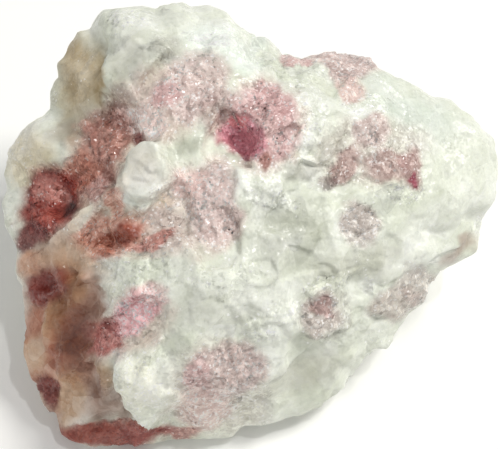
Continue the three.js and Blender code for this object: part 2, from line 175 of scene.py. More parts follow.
# edges where the rock broke: the relief left and right of the line, going along, and the distance over
# which it fades, mm, and the line, px
strokes = {
    "edge of the upper left shoulder": (0.9, -0.9, 2.5, [
        (101, 20), (104, 40), (103, 60), (105, 80), (111, 98)]),
    "foot of the blue grey pane": (0.32, -0.4, 1.6, [
        (106, 96), (124, 94), (133, 84), (150, 78), (162, 60), (170, 40)]),
    "crack across the upper lobe": (-0.24, 0.21, 2.0, [
        (118, 36), (137, 33), (150, 46), (170, 44), (176, 24)]),
    "back edge of the upper lobe": (-0.8, 0.5, 2.2, [(230, 12), (250, 32), (270, 54), (293, 76), (310, 88)]),
    "pale crest in the seam": (0.6, 0.6, 0.9, [(122, 98), (121, 112), (118, 128), (122, 142)]),
    "crest of the seam": (0.6, 0.2, 1.1, [(92, 124), (88, 142), (94, 160), (90, 180)]),
    "top of the cleavage block": (-0.9, 0.9, 1.3, [
        (128, 176), (132, 158), (146, 142), (163, 148), (174, 168)]),
    "upper crack of the block": (0.2, -0.15, 1.2, [(136, 160), (148, 166), (158, 176), (168, 172)]),
    "lower crack of the block": (0.2, -0.2, 1.4, [(124, 190), (138, 178), (154, 184), (160, 196)]),
    "foot of the block": (0.8, -0.7, 1.0, [(120, 202), (134, 210), (148, 200), (164, 190)]),
    "crest of the white bump": (0.9, -0.6, 2.0, [(96, 202), (80, 212), (64, 228), (46, 246), (28, 262)]),
    "rim of the brown pit": (-0.3, 0.7, 0.9, [(98, 220), (97, 236), (106, 250), (124, 252), (142, 244)]),
    "first fold under the pit": (0.6, 0.0, 0.8, [(72, 272), (94, 266), (116, 258), (142, 252), (172, 240)]),
    "second fold under the pit": (0.5, -0.3, 0.8, [(66, 262), (84, 258), (104, 260), (126, 248)]),
    "turn of the left side, high": (0.9, -0.5, 2.2, [
        (60, 264), (78, 278), (104, 286), (112, 304), (98, 322)]),
    "roof of the lower left crystal": (0.8, -0.6, 1.6, [(98, 322), (120, 312), (138, 300), (152, 288)]),
    "left edge of the boulder": (1.1, -1.0, 2.6, [
        (134, 342), (119, 350), (117, 374), (124, 398), (142, 420), (164, 436)]),
    "right edge of the boulder": (-0.4, 0.3, 1.6, [(152, 340), (168, 352), (176, 376), (172, 400)]),
    "roof of the centre hollow": (0.5, -0.9, 1.3, [
        (226, 128), (234, 120), (244, 116), (254, 122), (262, 138), (262, 156)]),
    "floor of the centre hollow": (-0.7, 0.7, 1.3, [(222, 138), (232, 150), (246, 160), (262, 162)]),
    "edge right of the centre crystal": (0.3, -0.5, 1.6, [(296, 92), (306, 112), (300, 132), (288, 154)]),
    "pane under the centre crystal": (0.2, -0.5, 1.8, [(284, 166), (300, 148), (322, 142), (344, 144)]),
    "crease under the right crystals": (0.5, -0.6, 1.1, [
        (350, 182), (362, 172), (374, 178), (388, 184), (404, 190)]),
    "step in the middle": (0.1, -0.1, 1.8, [
        (228, 172), (246, 190), (260, 208), (270, 228), (282, 250), (294, 268)]),
    "split in the middle": (-0.15, 0.1, 0.8, [(258, 204), (268, 226), (280, 230)]),
    "first ledge on the right": (0.08, -0.12, 1.3, [(304, 240), (328, 236), (352, 240), (376, 236)]),
    "second ledge on the right": (0.1, -0.12, 1.2, [(330, 256), (350, 262), (370, 255), (398, 258)]),
    "third ledge on the right": (0.1, -0.12, 1.1, [(310, 280), (336, 270), (364, 266), (392, 262)]),
    "roof of the lower right crystal": (0.12, -0.16, 1.2, [
        (306, 300), (312, 288), (326, 280), (342, 284), (348, 298)]),
    "turn of the foot": (0.5, -0.4, 2.4, [
        (238, 396), (262, 388), (290, 364), (316, 340), (346, 330), (372, 318)]),
    "fold in the left side": (0.7, 0.2, 1.3, [(98, 346), (104, 368), (100, 394), (108, 418)]),
    "second fold in the left side": (0.6, -0.2, 1.6, [(58, 300), (66, 330), (62, 360), (72, 398)]),
    "ledge over the foot": (0.7, -0.4, 1.4, [(60, 428), (84, 424), (112, 418), (140, 424), (164, 438)]),
    "turn of the right rim": (-0.6, 0.5, 1.8, [(482, 226), (466, 240), (446, 250), (430, 264), (416, 286)]),
}

# lumps and hollows: px, px, half width, half height, turn in degrees, height in mm, flat share of the top
bosses = {
    "knob at the top": (125, 19, 13, 8, 0, 0.6, 0.3),
    "cleavage block": (149, 172, 22, 30, 24, 1.2, 0.92),
    "white cube on the left lobe": (84, 128, 6, 8, 10, 1.0, 0.7),
    "hollow of the left lobe": (54, 202, 28, 22, -35, -1.6, 0.2),
    "orange crystal": (128, 229, 15, 13, 10, 1.2, 0.1),
    "brown pit": (104, 240, 8, 10, -25, -1.5, 0.2),
    "centre hollow": (243, 140, 20, 16, 25, -1.7, 0.3),
    "hollow at the lower left crystal": (90, 334, 14, 12, 0, -1.2, 0.2),
    "lower left crystal": (142, 316, 26, 14, -25, -0.5, 0.4),
    "boulder": (146, 380, 30, 36, -10, 0.9, 0.4),
    "lower right crystal": (322, 308, 12, 15, 20, -0.5, 0.4),
    "violet crystal": (363, 220, 14, 16, 0, -0.4, 0.4),
    "right outer crystal": (410, 166, 11, 16, 0, 0.6, 0.3),
    "column on the left side": (68, 394, 9, 32, -4, 1.0, 0.3),
    "swell on the left side": (54, 322, 9, 28, 0, 0.8, 0.3),
    "hollow beside the swell": (88, 308, 12, 26, -8, -1.0, 0.3),
    "pale fold": (105, 372, 9, 24, 0, 0.9, 0.3),
    "groove by the boulder": (119, 404, 6, 28, -25, -1.0, 0.3),
    "hollow on the left edge": (44, 286, 12, 10, 0, -0.9, 0.3),
    "pale knob on the left edge": (36, 262, 12, 9, 0, 0.8, 0.3),
    "pale knob at the lower left": (36, 350, 12, 16, 0, 0.8, 0.3),
}
reliefShape = {
    # soft lumps that push the relief about: mm size, push as a share of it, and two seeds
    "lumps": ((3.0, 0.3, 91, 93), (1.1, 0.3, 95, 97)),
    "turn": 0.2,  # mm over which an edge passes from its left height to its right one
    "fade": 0.2,  # share of an edge's line over which each of its ends fades out
}

mmPerPixel = stone["width"] / stone["photoSpan"]
lean = np.radians(stone["faceLean"])
faceRight = np.array([1.0, 0.0, 0.0])
faceUp = np.array([0.0, np.sin(lean), np.cos(lean)])
faceOut = np.array([0.0, -np.cos(lean), np.sin(lean)])
faceMiddle = np.array([0.0, 0.0, stone["faceLift"]])
heart = faceMiddle - stone["heartDepth"] * faceOut
stand = np.array([*stone["stand"], 0.0])


# Pixels of the photograph to millimetres right of and above the sheet's middle.
def onSheet(pixels):
    return (np.asarray(pixels, float) - stone["photoMiddle"]) * [mmPerPixel, -mmPerPixel]


# A closed outline as reach over angle, about a middle: straight in angle between its corners.
def reachAbout(corners, middle):
    spokes = corners - middle
    angles = np.arctan2(spokes[:, 1], spokes[:, 0])
    order = np.argsort(angles)
    reaches = np.hypot(spokes[:, 0], spokes[:, 1])
    return lambda angle: np.interp(angle, angles[order], reaches[order], period=2 * np.pi)


rimRadius = reachAbout(onSheet(outline), np.zeros(2))


# 0 to low, 1 from high, and 3 t squared less 2 t cubed between them.
def smooth(x, low, high):
    t = np.clip((x - low) / (high - low), 0, 1)
    return t * t * (3 - 2 * t)


# A number from 0 to 1 for each cell of space: the fraction of a large multiple of a sine.
def chance(cell, seed):
    wave = np.sin(cell @ np.array(scatter["weights"]) + seed * scatter["seedWeight"]) * scatter["multiple"]
    return wave - np.floor(wave)


# Soft lumps from -0.5 to 0.5: random numbers at the corners of cells, blended smoothly between them.
def cloud(points, size, seed):
    spot = points / size
    cell = np.floor(spot)
    part = smooth(spot - cell, 0, 1)
    total = np.zeros(len(points))
    for corner in np.ndindex(2, 2, 2):
        weight = np.prod(np.where(corner, part, 1 - part), axis=1)
        total += weight * chance(cell + corner, seed)
    return total - 0.5


# Small broken faces: each cell of space holds a plane with its own tilt and offset, and a point takes
# the plane of the nearest cell point, weighed by exp(-crispness * distance squared).
def chipped(points, chip):
    spot = points / chip["size"]
    home = np.floor(spot)
    total = np.zeros(len(points))
    height = np.zeros(len(points))
    for neighbour in np.ndindex(3, 3, 3):
        cell = home + np.array(neighbour) - 1
        draw = [chance(cell, chip["seed"] + n) for n in range(1, 8)]
        away = spot - cell - np.stack(draw[0:3], axis=1)
        tilt = np.stack(draw[3:6], axis=1) - 0.5
        weight = np.exp(-chip["crisp"] * np.sum(away * away, axis=1))
        total += weight
        step = stone["chipStep"] * (draw[6] - 0.5)
        height += weight * (stone["chipTilt"] * np.sum(tilt * away, axis=1) + step)
    return height / total


# Each face leans along the plane that best fits its neighbours' heights, weighed by
# exp(-distance squared / twice the reach squared).
def leanings(places, heights):
    away = places[None] - places[:, None]
    rise = heights[None] - heights[:, None]
    weight = np.exp(-np.sum(away * away, axis=2) / (2 * stone["leanReach"] ** 2))
    xx = stone["leanSteadiness"] + np.sum(weight * away[..., 0] ** 2, axis=1)
    yy = stone["leanSteadiness"] + np.sum(weight * away[..., 1] ** 2, axis=1)
    xy = np.sum(weight * away[..., 0] * away[..., 1], axis=1)
    xh = np.sum(weight * away[..., 0] * rise, axis=1)
    yh = np.sum(weight * away[..., 1] * rise, axis=1)
    slopes = np.stack([yy * xh - xy * yh, xx * yh - xy * xh], axis=1) / (xx * yy - xy * xy)[:, None]
    return slopes * stone["facetLean"]


facetTable = np.array(facets, float)
facetPlaces, facetHeights = onSheet(facetTable[:, :2]), facetTable[:, 2]
facetSlopes = leanings(facetPlaces, facetHeights)


# Height of the show side: the planes of the faces, each weighed by exp(-distance squared / blend).
def faceHeight(a, b, blend):
    reach, wave, start = faceWander["reach"], faceWander["wave"], faceWander["start"]
    strayed = (a + reach * np.sin(wave[0] * b + start[0]), b + reach * np.sin(wave[1] * a + start[1]))
    wobbled = np.stack(strayed, axis=1)
    total = np.zeros(len(a))
    height = np.zeros(len(a))
    nearest = np.full(len(a), np.inf)
    for place in facetPlaces:
        nearest = np.minimum(nearest, np.sum((wobbled - place) ** 2, axis=1))
    for place, top, slope in zip(facetPlaces, facetHeights, facetSlopes):
        away = wobbled - place
        weight = np.exp((nearest - np.sum(away * away, axis=1)) / blend)
        total += weight
        height += weight * (top + away @ slope)
    return height / total


# How far a point shrinks towards the heart: each share by which it passes a cut is raised to the sharpness,
# they and one are summed, and one is divided by the sum's root of the same power.
def cutBack(fromHeart):
    crowded = np.ones(len(fromHeart))
    for toward, distance in cuts:
        direction = np.array(toward) / np.linalg.norm(toward)
        crowded += np.maximum(0, fromHeart @ direction / distance) ** stone["cutSharpness"]
    return crowded ** (-1 / stone["cutSharpness"])


# A place on the sheet, pushed about by soft lumps: for each size two clouds, one across and one up, times
# the push and the size.
def pushedAbout(place, lumps):
    flat = np.column_stack([place, np.zeros(len(place))])
    for size, push, *seeds in lumps:
        place = place + push * size * np.stack([cloud(flat, size, seed) for seed in seeds], axis=1)
    return place


# Relief of the named edges, lumps and hollows. An edge's is one height left of its line and another right
# of it, each times exp(-distance / run) and fading out at the line's ends.
def namedRelief(place):
    place = pushedAbout(place, reliefShape["lumps"])
    relief = np.zeros(len(place))
    for *ellipse, height, top in bosses.values():
        relief += height * inEllipse(place, *ellipse, top)
    for left, right, run, corners in strokes.values():
        line = onSheet(corners)
        nearest = np.full(len(place), np.inf)
        side, along, before = np.zeros(len(place)), np.zeros(len(place)), 0.0
        for start, end in zip(line[:-1], line[1:]):
            length = np.linalg.norm(end - start)
            direction = (end - start) / length
            away = place - start
            reach = np.clip(away @ direction, 0, length)
            distance = np.linalg.norm(away - reach[:, None] * direction, axis=1)
            closer = distance < nearest
            nearest = np.where(closer, distance, nearest)
            side = np.where(closer, direction[0] * away[:, 1] - direction[1] * away[:, 0], side)
            along = np.where(closer, before + reach, along)
            before += length
        fade = reliefShape["fade"] * before
        ends = smooth(along, 0, fade) * (1 - smooth(along, before - fade, before))
        height = right + (left - right) * (0.5 + 0.5 * np.tanh(side / reliefShape["turn"]))
        relief += height * ends * np.exp(-nearest / run)
    return relief


# Points of the stone's skin and its outward direction, for an angle and a level: 0 at the middle of the
# show face, 1 at the rim, 2 at the middle of the back. The face is its heights times the sixth-power
# turn of the rim, the back a superellipse shrunk by the cuts; named relief and chips roughen both.
def stoneSkin(angle, level):
    radius = rimRadius(angle)
    front = level < 1
    acrossFace = np.minimum(level, 1) * radius
    a, b = acrossFace * np.cos(angle), acrossFace * np.sin(angle)
    crisp = stone["crispShare"] * faceHeight(a, b, stone["crispBlend"])
    crisp += (1 - stone["crispShare"]) * faceHeight(a, b, stone["facetBlend"])
    turned = np.sqrt(1 - np.minimum(level, 1) ** stone["rimRoundness"])
    turn = np.clip(level - 1, 0, 1) * np.pi / 2
    power = 2 / stone["backRoundness"]
    across = np.where(front, acrossFace, radius * np.maximum(np.cos(turn), 0) ** power)
    depth = np.where(front, crisp * turned, -stone["backDepth"] * np.sin(turn) ** power)
    across = across * (1 - depth / stone["sightDistance"])
    point = faceMiddle + np.outer(depth, faceOut)
    point += np.outer(across * np.cos(angle), faceRight) + np.outer(across * np.sin(angle), faceUp)
    fromHeart = point - heart
    fade = smooth(-depth, 0, stone["cutFade"])
    fromHeart = fromHeart * (1 + (cutBack(fromHeart) - 1) * fade)[:, None]
    outward = fromHeart / np.linalg.norm(fromHeart, axis=1)[:, None]
    place = placeOf(angle, level)
    height = namedRelief(place)
    fineness = np.ones(len(angle))
    for *ellipse, share in breakage.values():
        fineness += share * inEllipse(place, *ellipse, zoneInner["breakage"])
    for chip in chips:
        spots = point
        share = chip["onFace"] + (1 - chip["onFace"]) * fade
        if chip["wander"]:
            share = share * fineness
            spots = heart + fromHeart
            lumps = [cloud(spots, chip["size"] * chipLumps["share"], seed) for seed in chipLumps["seeds"]]
            spots += chip["wander"] * np.stack(lumps, axis=1)
        height += share * chip["depth"] * chipped(spots, chip)
    return heart + fromHeart + outward * height[:, None], outward


# Height of the sugary grain: two sizes of small chips, scaled by how granular each point is.
def sugarHeight(points, amount):
    return amount * sum(grain["depth"] * chipped(points, grain) for grain in sugar)


# A place on the sheet, in millimetres, as angle and level; past the rim the sheet runs on down the side.
def angleAndLevel(place):
    angle = np.arctan2(place[:, 1], place[:, 0])
    reach = np.hypot(place[:, 0], place[:, 1])
    radius = rimRadius(angle)
    return angle, np.where(reach < radius, reach / radius, 1 + (reach - radius) / stone["backReach"])


# The reverse: where on the sheet an angle and a level lie.
def placeOf(angle, level):
    radius = rimRadius(angle)
    reach = np.where(level < 1, level * radius, radius + (level - 1) * stone["backReach"])
    return np.stack([reach * np.cos(angle), reach * np.sin(angle)], axis=1)


# No point lies below the base: one that would is drawn in, straight towards the heart.
def onBase(points):
    share = np.where(points[:, 2] < 0, heart[2] / np.maximum(heart[2] - points[:, 2], 1e-6), 1.0)
    return heart + (points - heart) * share[:, None]


# An sRGB hex colour as three linear values.
def linear(hexColour):
    value = np.array([int(hexColour[i : i + 2], 16) for i in (1, 3, 5)]) / 255
    return np.where(value <= 0.04045, value / 12.92, ((value + 0.055) / 1.055) ** 2.4)


# colour, kept on the skin so that crystals and matrix share it where they meet

# the ground's colours, from white through grey and olive to the browns of its stains; the brightest whites
# also serve as painted light, and the greys and darker browns as painted shade
stoneHues = {
    "mineral white": "#e3e6da", "bright milk": "#eff6ee", "milk": "#f3f3e4", "warm milk": "#f6ebdc",
    "cream": "#f6e6c6", "porcelain": "#e7e2d9", "pale green": "#d4dbd2", "cloud": "#c8c8bc",
    "mist": "#bbbdb0", "ash": "#aeaca2", "straw": "#ddcba4", "sand": "#d5b99f", "biscuit": "#c3a181",
    "dry olive": "#bca47b", "olive": "#ae935a", "taupe": "#988c7c", "apricot": "#cb9574",
    "mushroom": "#a5877d", "tan": "#a9835e", "clay": "#b0745a", "rust": "#a06048",
    "dull brown": "#8f6653", "umber": "#78401e", "iron red": "#681b10",
}
# the tourmaline's, from the palest grain to the deepest
gemHues = {
    "blush white": "#f6e0da", "shell": "#e5c6c0", "cream pink": "#dcd2c6", "candy": "#f4bcc0",
    "pale pink": "#d6bfba", "dusty pink": "#ccb5b0", "rose": "#d2adab", "lilac grey": "#c0b4ad",
    "grey pink": "#bba8a0", "salmon": "#de9c88", "coral": "#ea8e94", "raspberry": "#cc8692",
    "tan pink": "#c39890", "mauve": "#aa8984", "rosewood": "#c18278", "slate pink": "#958a84",
    "brick": "#b46f5a", "seam brown": "#a46e62", "coral brown": "#b2605a", "plum": "#6a5150",
    "magenta": "#903148", "burnt orange": "#8d4533", "ruby": "#8c2d22", "wine": "#701f19",
    "black cherry": "#270f0f",
}

# broad colour of the ground, partly painted light and shade as told beside each group: px, px, half width,
# half height, turn in degrees, hue, strength
hazes = {
    # painted light: the crown, the shoulder and the right lobe face the light and are painted brighter than
    # the quartz's white
    "bright crown": (212, 38, 36, 28, 20, "bright milk", 0.7),
    "bright shoulder": (246, 66, 28, 18, 42, "bright milk", 0.7),
    "bright right lobe": (410, 112, 62, 24, 28, "pale green", 0.7),
    # the grey turn of the crown and the blue grey pane: greyer, clearer quartz together with painted shade
    # where the face turns from the light
    "grey turn of the crown": (166, 48, 18, 22, 0, "ash", 0.6),
    "blue grey pane": (134, 70, 30, 42, 0, "cloud", 0.75),
    "shaded upper left side": (76, 78, 30, 62, 0, "dry olive", 0.75),
    "olive edge of the shoulder": (98, 72, 8, 44, 0, "olive", 0.6),
    "left lobe": (30, 160, 26, 36, 0, "straw", 0.6),
    "upper left lobe": (62, 134, 22, 12, -20, "taupe", 0.6),
    "cleavage block": (150, 170, 26, 32, 15, "porcelain", 0.7),
    "foot of the block": (130, 192, 14, 14, 0, "warm milk", 0.6),
    "grey pane above the block": (188, 142, 18, 12, 0, "mist", 0.6),
    "cream corner": (166, 204, 18, 12, -35, "cream", 0.6),
    "white bump": (72, 222, 34, 13, -42, "warm milk", 0.7),
    # the ground under the centre and lower down: greyer quartz together with painted shade, darker than the
    # lit top
    "grey under the centre": (306, 168, 26, 14, -10, "ash", 0.6),
    "ground under the centre": (285, 235, 60, 46, 20, "mist", 0.6),
    "low middle": (214, 312, 60, 26, 0, "mist", 0.6),
    "right ledges": (360, 262, 60, 24, -10, "cloud", 0.6),
    "slope to the foot": (306, 376, 56, 22, -32, "cloud", 0.7),
    "boulder": (146, 380, 28, 36, -8, "milk", 0.8),
    # the left side turns away from the light: its browns are iron stain together with painted shade, and the
    # dark band, the brown hollow by the lower crystal and the olive shadow by the boulder are stain deepened
    # by painted shade in hollows
    "left side": (58, 334, 54, 116, 0, "clay", 0.97),
    "tan top of the left side": (70, 256, 32, 22, -25, "sand", 0.75),
    "beige bump on the left edge": (32, 262, 18, 14, 0, "apricot", 0.85),
    "red patch on the left edge": (44, 290, 24, 24, 15, "iron red", 0.9),
    "olive middle of the left side": (68, 300, 18, 42, 0, "tan", 0.7),
    "golden streak": (54, 322, 11, 26, 0, "biscuit", 0.7),
    "pinkish left edge": (33, 325, 13, 22, 0, "clay", 0.75),
    "beige knob at the lower left": (38, 353, 17, 22, 0, "sand", 0.9),
    "dark band": (92, 306, 16, 30, -8, "dull brown", 0.75),
    "brown hollow by the lower crystal": (84, 338, 21, 17, 0, "umber", 0.9),
    "purple brown under the hollow": (82, 362, 26, 16, 0, "dull brown", 0.75),
    "pale column": (68, 394, 16, 36, -4, "biscuit", 0.85),
    "low left side": (98, 402, 20, 28, -15, "umber", 0.75),
    "pale fold": (105, 372, 13, 24, 0, "tan", 0.8),
    "olive shadow by the boulder": (119, 410, 11, 24, -25, "umber", 0.65),
    # the foot: red-brown stain, darkened by painted shade where the face turns under to the base
    "foot": (104, 437, 72, 18, 3, "rust", 0.95),
    "shaded turn of the right rim": (458, 252, 30, 8, -36, "mushroom", 0.5),
    "back edge of the upper lobe": (262, 40, 12, 26, 35, "pale green", 0.7),
}

# granular tourmaline, from broad and pale to small and deep, in the same terms
blushes = {
    "faint, upper left": (152, 106, 62, 40, -22, "tan pink", 0.4),
    "faint, left": (92, 168, 36, 64, 25, "brick", 0.5),
    "faint, middle": (194, 212, 50, 54, 0, "pale pink", 0.55),
    "between the pit and the middle": (158, 234, 36, 24, -10, "grey pink", 0.6),
    "faint, right": (372, 150, 58, 38, 0, "grey pink", 0.35),
    "faint, lower middle": (214, 392, 60, 54, 0, "cream pink", 0.45),
    "faint, lower left": (132, 326, 46, 32, -15, "tan pink", 0.4),
    "faint, lower right": (322, 312, 30, 30, 25, "slate pink", 0.35),
    "upper band": (190, 86, 44, 34, -25, "pale pink", 0.8),
    "upper band, rose": (164, 96, 18, 14, -20, "rose", 0.8),
    "between band and centre": (222, 116, 26, 24, 0, "mauve", 0.65),
    "centre": (264, 126, 42, 46, 0, "rose", 0.92),
    "centre, upper right": (274, 100, 26, 14, 15, "rose", 0.8),
    "centre core": (242, 140, 24, 20, 10, "raspberry", 0.95),
    "centre spark": (237, 123, 9, 7, 0, "coral", 0.9),
    "centre tail": (263, 160, 7, 9, 0, "seam brown", 0.7),
    "under the band": (136, 122, 28, 18, -15, "blush white", 0.8),
    "red sliver": (137, 142, 9, 7, 0, "wine", 0.9),
    "seam": (104, 150, 25, 54, 18, "seam brown", 0.85),
    "between seam and hollow": (80, 170, 20, 22, 30, "brick", 0.75),
    "pale fold by the seam": (100, 186, 10, 18, 20, "tan pink", 0.7),
    "left hollow": (49, 204, 31, 46, 35, "ruby", 0.95),
    "left hollow, bright": (48, 190, 16, 10, -15, "rosewood", 0.8),
    # the hollow's dark side under its overhang: dark tourmaline deepened by painted shade
    "left hollow, dark": (64, 206, 14, 16, 25, "black cherry", 0.85),
    "below the left hollow": (28, 238, 17, 16, 20, "wine", 0.9),
    "pit": (110, 233, 42, 24, -12, "salmon", 0.8),
    "orange crystal": (128, 230, 15, 13, 0, "burnt orange", 0.95),
    "brown pit": (102, 242, 17, 13, 0, "brick", 0.8),
    "streak": (158, 240, 26, 6, -12, "rosewood", 0.8),
    "above the orange crystal": (116, 204, 10, 14, 0, "salmon", 0.7),
    "middle": (216, 206, 26, 48, 0, "pale pink", 0.8),
    "middle, left": (192, 182, 20, 18, 0, "shell", 0.7),
    "lower left": (138, 312, 31, 20, -28, "candy", 0.9),
    "lower left, deep": (108, 331, 19, 20, -10, "coral brown", 0.85),
    "lower left, top": (156, 298, 14, 13, 0, "pale pink", 0.7),
    "lower middle": (228, 372, 46, 28, -10, "dusty pink", 0.85),
    "lower middle, rose": (200, 374, 14, 16, 0, "rose", 0.7),
    "lower tail": (204, 412, 26, 28, 0, "shell", 0.7),
    "lower edge": (178, 440, 24, 8, 0, "coral brown", 0.7),
    "lower right": (318, 310, 19, 24, 25, "lilac grey", 0.8),
    "lower right core": (321, 306, 10, 11, 0, "mauve", 0.8),
    "violet": (363, 221, 20, 24, 0, "lilac grey", 0.85),
    "right upper": (372, 132, 18, 20, -20, "dusty pink", 0.75),
    "right bridge": (386, 166, 26, 16, 10, "mauve", 0.75),
    "right outer": (410, 166, 15, 21, 0, "mauve", 0.85),
    "right outer, deep": (409, 180, 5, 6, 0, "magenta", 0.9),
    "right streak": (346, 166, 14, 26, 30, "mauve", 0.8),
    "right streak, faint": (330, 184, 12, 12, 0, "plum", 0.6),
    "top right": (344, 62, 42, 18, 18, "dusty pink", 0.9),
    "top right, rose": (350, 88, 13, 13, 0, "shell", 0.75),
    "top right, tip": (298, 59, 16, 5, 10, "rose", 0.8),
    "right edge": (414, 286, 24, 22, -40, "lilac grey", 0.7),
    "right edge, faint": (396, 306, 26, 22, 0, "grey pink", 0.6),
    "left edge": (44, 290, 20, 20, 0, "ruby", 0.5),
    "left edge, low": (48, 392, 12, 20, 0, "wine", 0.9),
    "foot, red": (112, 436, 60, 15, 2, "ruby", 0.7),
    "foot, pink": (144, 436, 24, 10, 0, "ruby", 0.7),
}

# ground with no tourmaline in it: px, px, half width, half height, turn in degrees, strength
bareGround = {
    "cleavage block": (148, 172, 24, 34, 12, 0.95),
    "white bump": (76, 220, 24, 9, -44, 0.8),
    "foot of the orange crystal": (150, 268, 44, 8, -10, 0.7),
    "boulder": (146, 380, 28, 36, -8, 0.9),
}

# ground crushed to white sugar, in the same terms
sugars = {
    "knob at the top": (124, 18, 20, 9, 0, 0.7),
    "right of the centre crystal": (306, 118, 22, 26, 10, 0.6),
    "middle of the face": (266, 196, 22, 13, 20, 0.5),
    "cream corner of the block": (170, 198, 20, 14, -35, 0.8),
    "under the orange crystal": (132, 262, 40, 12, -12, 0.45),
    "foot of the middle": (272, 322, 34, 17, -30, 0.4),
    "over the lower right crystal": (328, 284, 28, 9, -18, 0.8),
    "right ledge": (408, 192, 18, 12, -25, 0.7),
    "over the right crystals": (362, 104, 26, 12, 20, 0.7),
    "boulder": (140, 366, 18, 24, 0, 0.5),
}

# where the mineral is in one glassy piece, not granular, in the same terms
glassy = {
    "orange crystal": (128, 230, 15, 13, 0, 0.6),
    "centre hollow": (243, 142, 19, 15, 20, 0.25),
    "dark side of the left hollow": (66, 208, 16, 20, 30, 0.5),
    "below the left hollow": (26, 240, 16, 14, 20, 0.6),
    "red patch on the left edge": (40, 290, 24, 22, 0, 0.8),
    "left edge, low": (47, 392, 14, 20, 0, 0.8),
    "foot": (100, 438, 64, 13, 2, 0.7),
    "right outer, deep": (408, 174, 8, 12, 0, 0.5),
}

# share of a zone's ellipse that has its full strength, and the share where every zone has faded out
zoneInner = {"haze": 0.35, "blush": 0.65, "breakage": 0.5, "bare": 0.7, "crushed": 0.9, "glassy": 0.7}
zoneEnd = 1.15
# soft lumps that push the zones' edges about: mm size, push as a share of it, and two seeds
hazeLumps = ((5.0, 0.45, 61, 64), (2.0, 0.6, 67, 70), (0.9, 0.7, 73, 76))
blushLumps = ((5.0, 0.4, 61, 64), (2.0, 0.6, 67, 70), (0.9, 0.7, 73, 76))

# patches that soft lumps spread, of crushed ground everywhere and of the others on the unseen back: the
# lumps' mm sizes, seeds and shares, the heights between which a patch comes in, and its strength
patches = {
    "tourmaline": {"lumps": ((17.0, 5, 1.0), (5.0, 9, 0.35)), "between": (0.1, 0.26), "strength": 0.85},
    "deep in it": {"lumps": ((7.0, 13, 1.0),), "between": (-0.2, 0.3), "strength": 1.0},
    "rust": {"lumps": ((21.0, 17, 1.0),), "between": (0.02, 0.3), "strength": 0.6},
    "crushed": {"lumps": ((9.0, 41, 1.0), (3.5, 43, 0.6)), "between": (0.08, 0.3), "strength": 0.35},
}
unseenFrom = (1.06, 1.25)  # levels between which the back's own patches come in
hazeUncrushed = 0.5  # how far full haze takes crushed ground back


# How far inside a soft ellipse, 1 to 0 from the given share of it to the zones' end.
def inEllipse(place, x, y, halfWidth, halfHeight, turn, inner):
    away = place / [mmPerPixel, -mmPerPixel] + stone["photoMiddle"] - (x, y)
    c, s = np.cos(np.radians(turn)), np.sin(np.radians(turn))
    u = (away[:, 0] * c + away[:, 1] * s) / halfWidth
    v = (away[:, 1] * c - away[:, 0] * s) / halfHeight
    return 1 - smooth(np.hypot(u, v), inner, zoneEnd)


# What zones leave of a share: one less each zone's strength, multiplied together.
def leftBy(place, zones, inner):
    left = np.ones(len(place))
    for *ellipse, strength in zones.values():
        left *= 1 - strength * inEllipse(place, *ellipse, inner)
    return left


# Colour painted in soft ellipses, each over those before it by its strength times its smooth fall, and how
# much they cover. The place is first pushed about by soft lumps, so that the edges wander.
def painted(place, zones, hues, lumps, inner):
    place = pushedAbout(place, lumps)
    colour = np.zeros((len(place), 3))
    cover = np.zeros(len(place))
    for *ellipse, hue, strength in zones.values():
        weight = strength * inEllipse(place, *ellipse, inner)
        colour = colour * (1 - weight)[:, None] + np.outer(weight, linear(hues[hue]))
        cover = cover * (1 - weight) + weight
    return colour, cover


# Patches of one kind: the strength times a smooth rise of the lumps' sum between its two heights.
def patchy(points, kind):
    patch = patches[kind]
    height = sum(share * cloud(points, size, seed) for size, seed, share in patch["lumps"])
    return patch["strength"] * smooth(height, *patch["between"])


# Two colours mixed: the first times one less the share, plus the second times the share.
def mixed(first, second, share):
    return first * (1 - share)[:, None] + second * share[:, None]


# Five things of each point: the ground's colour, the tourmaline's, the share of grains that are tourmaline,
# how far the ground is crushed to sugar, and how granular the skin is. The back, which the photograph
# doesn't show, has patches of its own.
def skinColour(points, place, level):
    hazed, haze = painted(place, hazes, stoneHues, hazeLumps, zoneInner["haze"])
    blush, tinted = painted(place, blushes, gemHues, blushLumps, zoneInner["blush"])
    unseen = smooth(level, *unseenFrom)
    ground = hazed + np.outer(1 - haze, linear(stoneHues["mineral white"]))
    ground = mixed(ground, linear(stoneHues["dry olive"]), patchy(points, "rust") * unseen)
    patch = patchy(points, "tourmaline") * unseen
    ends = [linear(gemHues[hue]) for hue in ("tan pink", "seam brown")]
    patchColour = mixed(*ends, patchy(points, "deep in it"))
    tint = mixed(blush / np.maximum(tinted, 1e-4)[:, None], patchColour, patch)
    cover = tinted * leftBy(place, bareGround, zoneInner["bare"])
    cover = cover * (1 - patch) + patch
    crushed = patchy(points, "crushed")
    for *ellipse, strength in sugars.values():
        crushed = np.maximum(crushed, strength * inEllipse(place, *ellipse, zoneInner["crushed"]))
    crushed = crushed * (1 - hazeUncrushed * haze)
    grainy = np.maximum(cover, crushed) * leftBy(place, glassy, zoneInner["glassy"])
    return ground, tint, cover, crushed, grainy


# A square laid on a disc without crowding its middle: the larger coordinate is the radius, and the
# other turns the point by up to an eighth of a turn either way.
def squareToDisc(x, y):
    wide = np.abs(x) >= np.abs(y)
    radius = np.maximum(np.abs(x), np.abs(y))
    safeX, safeY = np.where(x == 0, 1.0, x), np.where(y == 0, 1.0, y)
    sideways = np.pi / 4 * y / safeX + np.where(x < 0, np.pi, 0)
    upright = np.pi / 2 - np.pi / 4 * x / safeY + np.where(y < 0, np.pi, 0)
    return radius, np.where(radius == 0, 0.0, np.where(wide, sideways, upright))


